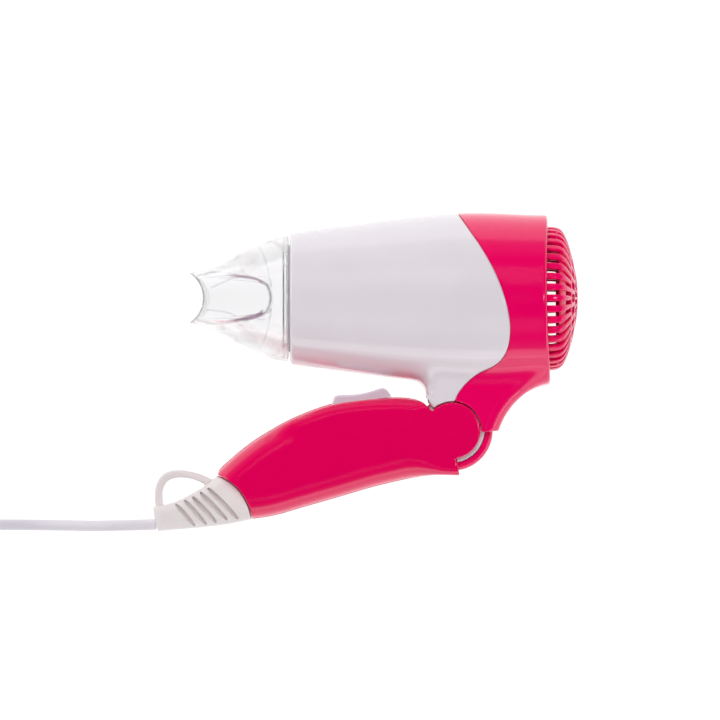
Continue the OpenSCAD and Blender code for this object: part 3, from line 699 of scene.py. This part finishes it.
def nozzle_painted_shade(x, y, z):
    """Painted shade on the clear plastic where it is seen along its thickness, each 0 to 1: a painted mauve band along
    the scoop's edges, and painted grey at the scoop's end, round the mouth, at the rim and along two creases.
    """
    u = U2D(x, y - AY)
    az = np.abs(z - ZC)
    top = step01(az, 20.0, 24.0)
    wid = 0.8 + 0.9 * step01(x, -64, -52) * (y < AY)
    strip = step01(-u, -0.1, 0.25) * (1 - step01(-u, wid, wid + 0.6)) * step01(x, -66.5, -60) * (1 - step01(x, -47.6, -46.4)) * top
    end = (1 - step01(np.abs(u + 0.1), 0.1, 0.6)) * step01(x, -48, -46.5) * top
    arc = 1 - step01(np.hypot(x + 87.4, y - AY) - 13.1, 0.5, 1.3)
    arc = arc * (x < -70)
    rim = step01(x, -36.3, -35.9) * 0.12
    crease = np.zeros_like(x)
    for run in (((-70.3, 38.7), (-61.5, 42.7), (-58.0, 42.9)), ((-72.7, 28.5), (-66.1, 27.9), (-62.9, 27.2), (-59.3, 25.8))):
        for (ax, ay), (bx, by) in zip(run[:-1], run[1:]):
            ex, ey = bx - ax, by - ay
            t = np.clip(((x - ax) * ex + (y - ay) * ey) / (ex * ex + ey * ey), 0, 1)
            dd = np.hypot(x - ax - t * ex, y - ay - t * ey)
            crease = np.maximum(crease, 0.4 * (1 - step01(dd, 0.1, 0.6)) * (z > ZC))
    return strip, np.maximum(np.maximum(end * 0.9, arc), np.maximum(rim, crease))


noz = solid("nozzle_skin", nozzle_f, (-82.3, AY - 29.8, ZC - 29.8), (-29.6, AY + 29.8, ZC + 29.8), 0.5, sharp=38)
co = np.empty(len(noz.data.vertices) * 3, np.float32)
noz.data.vertices.foreach_get("co", co)
co = co.reshape(-1, 3) / MM
# painted shade: mauve and grey painted into a vertex colour, which the clear plastic takes up as its base colour
painted_mauve, painted_grey = nozzle_painted_shade(co[:, 0], co[:, 1], co[:, 2])
col = np.ones((len(co), 4), np.float32)
for c, base, pv, gv in ((0, 0.985, 0.30, 0.16), (1, 0.99, 0.19, 0.16), (2, 1.0, 0.27, 0.17)):
    v = base * (1 - painted_mauve) + pv * painted_mauve
    col[:, c] = v * (1 - painted_grey) + gv * painted_grey
att = noz.data.color_attributes.new("painted_edge_shade", "FLOAT_COLOR", "POINT")
att.data.foreach_set("color", col.ravel())
place(noz, "nozzle", "clear_nozzle", "nozzle")


# ------------------------------------------------------------------ turned parts
def lathe(name, prof, centre, axis, seg=128, sharp=35):
    """Closed [along, radius] loop turned about an axis; loop points in order."""
    P = np.array(prof, float)
    n = len(P)
    t = np.linspace(0, 2 * np.pi, seg, endpoint=False)
    c, s = np.cos(t), np.sin(t)
    along = np.repeat(P[:, 0:1], seg, 1)
    r = P[:, 1:2]
    if axis == "x":
        V = np.stack([along, r * c, r * s], 2)
    elif axis == "y":
        V = np.stack([r * s, along, r * c], 2)
    else:
        V = np.stack([r * c, r * s, along], 2)
    V = V.reshape(-1, 3) + np.array(centre, float)
    i, j = np.meshgrid(np.arange(n), np.arange(seg), indexing="ij")
    i2, j2 = (i + 1) % n, (j + 1) % seg
    Q = np.stack([i * seg + j, i * seg + j2, i2 * seg + j2, i2 * seg + j], 2).reshape(-1, 4)
    return to_object(name, V, Q, sharp)


def soften(loop, r=0.3, k=3):
    """Round the corners of a closed loop."""
    P = np.array(loop, float)
    out = []
    n = len(P)
    for i in range(n):
        a, b, c = P[i - 1], P[i], P[(i + 1) % n]
        la, lc = np.linalg.norm(a - b), np.linalg.norm(c - b)
        ra = min(r, la * 0.45, lc * 0.45)
        p0, p1 = b + (a - b) / la * ra, b + (c - b) / lc * ra
        for t in np.linspace(0, 1, k + 1):
            out.append((1 - t) ** 2 * p0 + 2 * t * (1 - t) * b + t * t * p1)
    return out


collar = lathe("outlet_collar_skin", soften([(-29.6, 22.8), (-29.6, 26.55), (-31, 26.55), (-31, 24.58), (-36.2, 24.58), (-36.2, 22.8)], 0.3),
               (0, AY, ZC), "x")
place(collar, "collar", "grey_collar", "outlet_collar")

# ------------------------------------------------------------------ handle
TOP = [(-68.1, -46.9), (-67.6, -45.0), (-66.1, -43.1), (-63.8, -41.2), (-59.7, -37.6), (-55.1, -33.9), (-50, -30.2), (-44, -26.6),
       (-37.6, -22.9), (-29.3, -19.1), (-22, -16.3), (-15.1, -14.2), (-8, -13), (-2.6, -12.3), (4.5, -11.7), (11.6, -11.4),
       (18, -11.5), (23.4, -12.4), (26.4, -13.9)]
BOT = [(43.0, -47.5), (32.3, -47.3), (24, -48.2), (13, -50.5), (2, -53.2), (-9.1, -56.5), (-20.1, -59.7), (-31.2, -62.9),
       (-36.7, -64.6), (-42.2, -66), (-47.7, -67), (-52, -67.5)]
END = [(-52, -67.5), (-52.8, -63.6), (-54, -60.1), (-56.1, -56.2), (-59.3, -52.3), (-63.5, -49.2), (-68.1, -46.9)]
top_run, bot_run, end_run = curve(TOP, 0.6, 1.5), curve(BOT, 0.6, 2.5), curve(END, 0.6, 1.0)
grip2d = Poly(joined(top_run, [(26.4, -13.9), (30.6, -17.8), (34, -22), (40, -27), (41.6, -38.8), (43.0, -47.5)], bot_run, end_run), 0.25, 24)
ext_top = curve([(-80, -58), (-74, -51.6), (-68.2, -45.6)] + TOP[3:18], 0.6, 2.0)
ext_bot = curve([(62, -46.9)] + BOT + [(-60, -69.0), (-80, -71.6)], 0.6, 2.5)
ext2d = Poly(joined(ext_top, [(23.4, -12.4), (29, -11), (34, -4), (62, -4)], ext_bot), 0.25, 30)


def handle_block(x, y, z):
    zz = z - ZC
    az = np.abs(zz)
    hr = np.hypot(x - HX, y - HY)
    inset = 0.5 * step01(zz, SEAM - 0.4, SEAM + 0.1) * (1 - 0.7 * step01(x, 14, 38))
    e2 = ext2d(x, y)
    low = step01(-46 - 0.19 * (x - 20) * (x < 20) - y, -14, -4)
    a = rounded(e2 + inset, az - GRIP_H, 6.5 + 5.5 * low - (2.0 + 5.5 * low) * step01(x, 18, 38))
    b = rounded(np.minimum(grip2d(x, y), hr - CHEEK_R), az - GRIP_H, 0.7)
    return smax(a, b, 0.6)


def handle_f(x, y, z):
    zz = z - ZC
    az = np.abs(zz)
    hr = np.hypot(x - HX, y - HY)
    d = handle_block(x, y, z)
    d = np.maximum(d, -(d + 2.2))
    d = smax(d, -np.maximum(hr - 19.2, az - (EAR_Z + 0.3)), 0.3)
    up = (y + 15.65) * 0.98979 - (x + 17.4) * 0.14255
    seat = np.maximum(np.maximum(-up, az - 7.0), np.maximum(-17.4 - x, x - 26))
    d = smax(d, -seat, 0.35)
    slot = np.maximum(np.maximum(-3.6 - x, x - 12.2), np.maximum(az - 2.0, -20 - y))
    return np.maximum(d, -slot)


def shell_half(x, y, z):
    d = smax(handle_f(x, y, z), z - (ZC + SEAM - 0.1), 0.35)
    for px, py in ((-46, -45.6), (-12, -42), (17, -41)):
        r = np.hypot(x - px, y - py)
        boss = np.maximum(r - 4.2, np.maximum(z - (ZC - 10.5), ZC - GRIP_H + 0.8 - z))
        d = np.minimum(d, np.maximum(boss, handle_block(x, y, z) + 0.3))
        d = smax(d, -np.maximum(r - 2.9, z - (ZC - 15.4)), 0.3)
        d = np.maximum(d, 1.5 - r)
    return d


def cover_half(x, y, z):
    return smax(handle_f(x, y, z), ZC + SEAM + 0.1 - z, 0.35)


def hidden_in_handle(x, y, z):
    return handle_block(x, y, z) < -1.4


hs = solid("handle_shell_skin", shell_half, (-69.5, -69, ZC - 19), (53.6, -10.4, ZC + 5.6), 0.6, inner=hidden_in_handle)
place(hs, "handle", "pink_handle", "handle_shell")
hc = solid("handle_cover_skin", cover_half, (-69.5, -69, ZC + 4.4), (53.6, -10.4, ZC + 19), 0.6, inner=hidden_in_handle)
place(hc, "handle", "pink_handle", "handle_cover")

# ------------------------------------------------------------------ switch knob
KN = joined(curve([(-16.7, -17.2), (-15.7, -14.9), (-15.0, -13.0), (-14.2, -11.3), (-13.2, -10.7), (-11, -10.55), (-6.8, -10.4), (-2.4, -9.9), (2, -8.9),
                   (4.9, -8.05), (7.0, -7.45), (8.3, -7.4), (9.4, -8.0), (10.6, -9.3), (11.8, -11.2), (12.6, -13)], 0.3, 0.35))
knob2d = Poly(KN, 0.15, 12)


def knob_f(x, y, z):
    az = np.abs(z - ZC)
    # the thumb hollow between the two crests is deeper at mid width
    hollow = 0.9 * np.exp(-((x + 1.0) / 5.0) ** 2) * np.clip(1 - (az / 6.0) ** 2, 0, 1)
    d = rounded(knob2d(x, y + hollow), az - 6.5, 1.0)
    d = np.maximum(d, (x + 17.4) * 0.14255 - (y + 15.65) * 0.98979 + 0.25)
    stem = np.maximum(np.maximum(-2.6 - x, x - 1.6), np.maximum(az - 1.5, np.maximum(-21 - y, y + 12)))
    return np.minimum(d, stem)


kn = solid("switch_knob_skin", knob_f, (-17.6, -21.6, ZC - 7), (13.4, -6.5, ZC + 7), 0.33, sharp=40)
place(kn, "switch", "knob_white", "switch_knob")

# ------------------------------------------------------------------ strain relief
r_top = curve([(-97.9, -61.9), (-91.3, -60.6), (-85.7, -58.7), (-80.4, -55.9), (-73.7, -52.1), (-71.6, -50.6), (-68.5, -47.5)], 0.5, 1.2)
r_arc = curve([(-68.5, -47.5), (-63.8, -49.6), (-59.8, -52.6), (-56.6, -56.5), (-54.5, -60.4), (-53.3, -63.9), (-52.5, -67.5)], 0.5, 1.0)
r_bot = curve([(-52.5, -67.5), (-62, -69.6), (-73.5, -71.2), (-84, -72.2), (-95.4, -73.15)], 0.5, 2.0)
relief2d = Poly(joined(r_top, r_arc, r_bot, [(-96.4, -71.3), (-96.9, -69), (-97.9, -61.9)]), 0.2, 18)
relief_ext = Poly(joined(
    curve([(-97.9, -61.9), (-91.3, -60.6), (-85.7, -58.7), (-80.4, -55.9), (-73.7, -52.1), (-71.6, -50.6), (-68.4, -47.6), (-62, -40.5),
           (-52, -32), (-40, -24)], 0.5, 1.2),
    curve([(-30, -62.8), (-42, -66), (-52.5, -67.5), (-62, -69.6), (-73.5, -71.2), (-84, -72.2), (-95.4, -73.15)], 0.5, 2.0),
    [(-96.4, -71.3), (-96.9, -69), (-97.9, -61.9)]), 0.2, 18)
loop_out = curve([(-95.6, -64), (-96.9, -60), (-97.0, -56.2), (-96.6, -52.7), (-94.9, -48.6), (-91.7, -46), (-86.4, -45), (-80.4, -45.7), (-75.1, -47.2),
                  (-69.5, -49.9)], 0.4, 1.2)
loop_in = curve([(-73.0, -53.4), (-73.9, -51.7), (-76.9, -50.2), (-81.1, -48.8), (-85.7, -48.4), (-89.6, -49.2), (-92, -51), (-93.3, -54.4),
                 (-93.4, -58), (-92.8, -63.5)], 0.4, 1.0)
loop2d = Poly(joined(loop_out, loop_in), 0.15, 12)
RIB_SLOTS = [((-71.9, -53.6), (-58.9, -66.6), 1.2), ((-75.5, -55.6), (-64.0, -67.2), 1.2), ((-79.0, -57.7), (-68.9, -68.4), 1.15),
             ((-82.7, -59.2), (-73.5, -69.4), 1.1), ((-86.8, -60.9), (-78.8, -70.0), 1.0)]


def relief_half(x):
    return np.interp(x, [-99, -70, -52], [6.5, 11.0, 16.6])


def relief_f(x, y, z):
    az = np.abs(z - ZC)
    hz = relief_half(x)
    d2 = relief2d(x, y)
    d = smax(rounded(relief_ext(x, y), az - hz, 5.0), rounded(d2, az - hz, 0.5), 0.5)
    for (ax, ay), (bx, by), w in RIB_SLOTS:
        ex, ey = bx - ax, by - ay
        t2 = np.clip(((x - ax) * ex + (y - ay) * ey) / (ex * ex + ey * ey), 0, 1)
        dd = np.hypot(x - ax - t2 * ex, y - ay - t2 * ey) - w * (0.35 + 0.65 * np.sin(np.pi * np.clip(t2, 0.02, 0.98)) ** 0.5)
        cut = np.maximum(dd, hz - 3.4 - az)
        d = smax(d, -cut, 0.45)
    lp = rounded(loop2d(x, y), az - 2.5, 1.3)
    d = smin(d, lp, 0.9)
    bore = np.hypot((y + 61.6) * math.cos(math.radians(20)) - (x + 70) * math.sin(math.radians(20)), z - ZC) - 2.6
    bore = np.maximum(bore, -72 - x)
    mouth = np.hypot(y + 70.0, z - ZC) - 2.62
    mouth = np.maximum(mouth, x + 92.0)
    return smax(np.maximum(d, -bore), -mouth, 0.3)


rl = solid("strain_relief_skin", relief_f, (-98.6, -74, ZC - 17.5), (-51.5, -44.2, ZC + 17.5), 0.44, sharp=45)
place(rl, "handle", "relief_pvc", "strain_relief")

# ------------------------------------------------------------------ plug, pins, tie
PX = -247.5
plug2d = Poly(joined(curve([(-4.4, 3), (-4.5, 8), (-5.6, 14), (-9, 22), (-14.2, 28), (-16.9, 33.5), (-17.4, 37), (-17.4, 41), (-17.4, 45), (-17.4, 48.5), (-17.3, 50.6), (-16.6, 51.6)], 0.4, 0.8),
                     curve([(16.6, 51.6), (17.3, 50.6), (17.4, 48.5), (17.4, 45), (17.4, 41), (17.4, 37), (16.9, 33.5), (14.2, 28), (9, 22), (5.6, 14), (4.5, 8), (4.4, 3)], 0.4, 0.8)), 0.2, 10)


def plug_f(x, y, z):
    X, Z = x - PX, z - 7
    half = np.interp(y, [3, 12, 24, 34, 60], [4.4, 4.8, 6.0, 6.95, 6.95])
    d = rounded(plug2d(X, y), np.abs(Z) - half, 3.0)
    d = smax(d, y - 51.95, 0.8)
    # finger grooves and cord sleeve rings
    for g in (30.5, 33.6, 36.7, 39.8):
        groove = np.hypot(y - g, (np.abs(Z) - 7.3)) - 1.0
        d = smax(d, -np.maximum(groove, np.abs(X) - 9), 0.4)
    for g in (6.2, 9.4, 12.6):
        ringd = np.maximum(np.abs(y - g) - 0.7, 3.3 - np.hypot(X, Z))
        d = smax(d, -ringd, 0.3)
    return d


pg = solid("plug_body_skin", plug_f, (PX - 19.4, 2.2, -0.6), (PX + 19.4, 53.4, 14.6), 0.5, sharp=45)
place(pg, "handle", "plug_pvc", "plug_body")
pins = []
for s in (-1, 1):
    pins.append(lathe("pin", [(50, 0.01), (50, 2.38), (69.2, 2.38), (69.9, 2.25), (70.4, 1.95), (70.8, 1.45), (70.98, 0.8), (71, 0.01)],
                      (PX + s * 9.5, 0, 7), "y", 64))
me_pts = np.concatenate([np.array([v.co[:] for v in p.data.vertices]) / MM for p in pins])
me_q = []
off = 0
for p in pins:
    me_q.append(np.array([list(f.vertices) for f in p.data.polygons]) + off)
    off += len(p.data.vertices)
pin_obj = to_object("plug_pins_skin", me_pts, np.concatenate(me_q), 40)
for p in pins:
    bpy.data.objects.remove(p, do_unlink=True)
place(pin_obj, "handle", "pin_metal", "plug_pins")


def tie_f(x, y, z):
    X, Y = x - COIL[0], y - COIL[1]
    c, s = math.cos(math.radians(40)), math.sin(math.radians(40))
    u, v = X * c + Y * s, -X * s + Y * c
    bx, bz = np.abs(u - 28.5) - 5.9, np.abs(z - 8.05) - 5.6
    ring = np.sqrt(np.maximum(bx, 0) ** 2 + np.maximum(bz, 0) ** 2) + np.minimum(np.maximum(bx, bz), 0) - 2.05
    strap = np.maximum(np.abs(ring) - 0.39, np.abs(v) - 1.9)
    head = np.maximum(np.maximum(np.abs(u - 37.1) - 1.4, np.abs(v) - 2.4), np.abs(z - 9) - 2.4)
    return smin(strap, head, 0.3)


tie = solid("cord_tie_skin", tie_f, (COIL[0] + 11, COIL[1] + 8, -0.4), (COIL[0] + 32, COIL[1] + 29, 16.8), 0.36)
place(tie, "handle", "tie_black", "cord_tie")

# ------------------------------------------------------------------ floor, light
FL = 3.0
fme = bpy.data.meshes.new("floor")
fme.from_pydata([(-FL, -FL, 0), (FL, -FL, 0), (FL, FL, 0), (-FL, FL, 0)], [], [(0, 1, 2, 3)])
floor = bpy.data.objects.new("floor", fme)
scene.collection.objects.link(floor)
fm, nt, b = principled("floor")
fn = noise(nt, 3.0, 2.0, 0.5, obj_coord(nt))
nt.links.new(remap(nt, fn.outputs["Fac"], 0.55, 0.65), b.inputs["Roughness"])
b.inputs["Base Color"].default_value = (0.22, 0.22, 0.22, 1)
b.inputs["Specular IOR Level"].default_value = 0.1
b.inputs["Emission Color"].default_value = (1, 1, 1, 1)
b.inputs["Emission Strength"].default_value = 0.93
fme.materials.append(fm)

world = bpy.data.worlds.new("world")
scene.world = world
world.use_nodes = True
wn = world.node_tree
bg = wn.nodes["Background"]
tc = wn.nodes.new("ShaderNodeTexCoord")
sepz = wn.nodes.new("ShaderNodeSeparateXYZ")
wn.links.new(tc.outputs["Generated"], sepz.inputs["Vector"])
wr = wn.nodes.new("ShaderNodeValToRGB")
wr.color_ramp.interpolation = "EASE"
els = wr.color_ramp.elements
els[0].position, els[0].color = 0.0, (1.15, 1.15, 1.15, 1)
els[1].position, els[1].color = 1.0, (0.0, 0.0, 0.0, 1)
for pos, v in ((0.02, 1.0), (0.10, 0.34), (0.30, 0.18), (0.62, 0.02)):
    e = els.new(pos)
    e.color = (v, v * 0.98, v * 1.02, 1)
wn.links.new(sepz.outputs["Z"], wr.inputs["Fac"])
wn.links.new(wr.outputs["Color"], bg.inputs["Color"])
bg.inputs["Strength"].default_value = 1.0


def area(name, loc, look, size, power, color=(1, 1, 1), gloss=True):
    d = bpy.data.lights.new(name, "AREA")
    d.shape = "RECTANGLE"
    d.size, d.size_y = size
    d.energy = power
    d.color = color
    o = bpy.data.objects.new(name, d)
    scene.collection.objects.link(o)
    o.location = loc
    o.rotation_euler = (Vector(look) - Vector(loc)).to_track_quat("-Z", "Y").to_euler()
    o.visible_glossy = gloss
    o.visible_transmission = gloss
    return o


area("over", (-0.05, 0.75, 1.25), (0, 0, 0.03), (1.3, 0.6), 12.3, gloss=False)
area("fill", (-0.05, -0.80, 1.15), (0, 0, 0.03), (1.3, 0.5), 5.4, gloss=False)
area("spot", (0.42, 0.05, 1.1), (0.05, -0.01, 0.05), (0.10, 0.16), 0.8)
area("low", (0.0, -1.0, 0.20), (0, 0, 0.04), (1.7, 0.28), 1.7)
area("right", (0.95, -0.55, 0.22), (0.05, 0, 0.04), (0.7, 0.30), 1.2)
area("left", (-1.0, 0.25, 0.20), (0, 0, 0.04), (0.5, 0.26), 1.6)
scene.view_settings.view_transform = "Standard"
